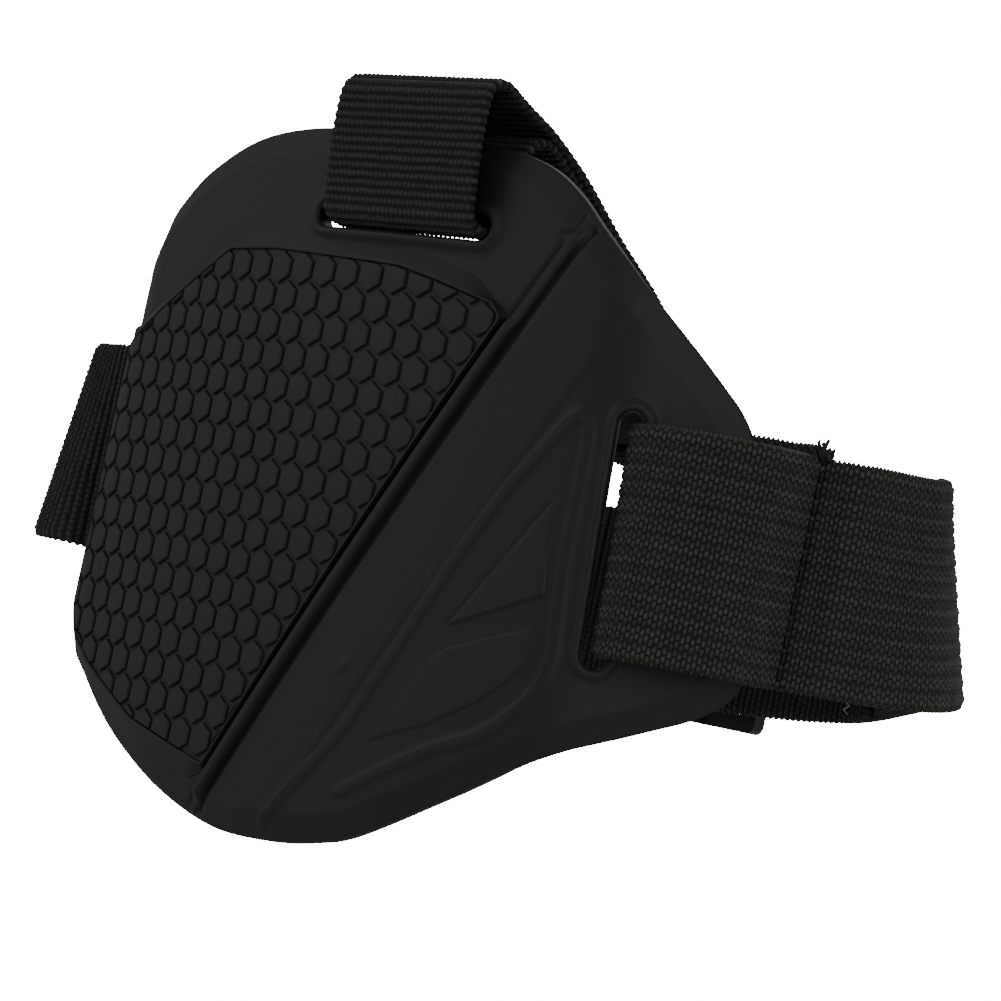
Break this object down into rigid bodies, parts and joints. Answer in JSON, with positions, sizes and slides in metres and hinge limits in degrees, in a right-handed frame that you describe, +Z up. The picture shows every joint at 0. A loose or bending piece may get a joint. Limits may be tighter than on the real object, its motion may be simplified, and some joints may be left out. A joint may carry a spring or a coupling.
{
  "type": "strap-on shoe guard",
  "caption": "Curved moulded rubber shell with a raised hexagon grip field, worn over a shoe on wide webbing straps with a side-release buckle and a strap slider.",
  "frame": {"origin": "middle of the opening that the shoe fills, between the shell and the strap behind it", "axes": "+Z up the shell towards the top strap, -Y out of the shell's front, +X to the right seen from the front"},
  "size_m": [0.2156, 0.1191, 0.1326],
  "materials": {
    "shell_rubber": "satin",
    "webbing": "matte",
    "buckle_plastic": "gloss",
    "black_thread": "matte",
    "white_thread": "matte"
  },
  "bodies": {
    "guard": {"shield": "shell_rubber", "right_strap": "webbing", "back_strap": "webbing", "left_strap": "webbing", "top_strap": "webbing", "buckle_socket": "buckle_plastic", "right_seam_stitching": "black_thread", "left_seam_stitching": "black_thread", "top_seam_stitching": "black_thread", "splice_stitching": "white_thread", "socket_fold_stitching": "black_thread"},
    "plug": {"buckle_plug": "buckle_plastic", "tail_hem_stitching": "black_thread"},
    "upper_arm": {"upper_release_arm": "buckle_plastic"},
    "lower_arm": {"lower_release_arm": "buckle_plastic"},
    "rear_loop": {"top_strap_slider": "buckle_plastic", "rear_loop_stitching": "black_thread"}
  },
  "joints": [
    {"name": "buckle_release", "type": "slide", "parent": "guard", "child": "plug", "axis": [-1, 0, 0], "range_m": [0, 0.027], "deforming": ["left_strap", "upper_release_arm", "lower_release_arm"]},
    {"name": "upper_arm_press", "type": "hinge", "parent": "plug", "child": "upper_arm", "pos_m": [-0.0763, 0.049, 0.0067], "axis": [0, 1, 0], "range_deg": [0, 13], "stiffness_Nm_per_rad": 0.1},
    {"name": "lower_arm_press", "type": "hinge", "parent": "plug", "child": "lower_arm", "pos_m": [-0.0763, 0.049, -0.0187], "axis": [0, -1, 0], "range_deg": [0, 13], "stiffness_Nm_per_rad": 0.1},
    {"name": "rear_loop_slide", "type": "slide", "parent": "guard", "child": "rear_loop", "axis": [1, 0, 0], "range_m": [-0.0015, 0.015], "deforming": ["top_strap"]}
  ]
}
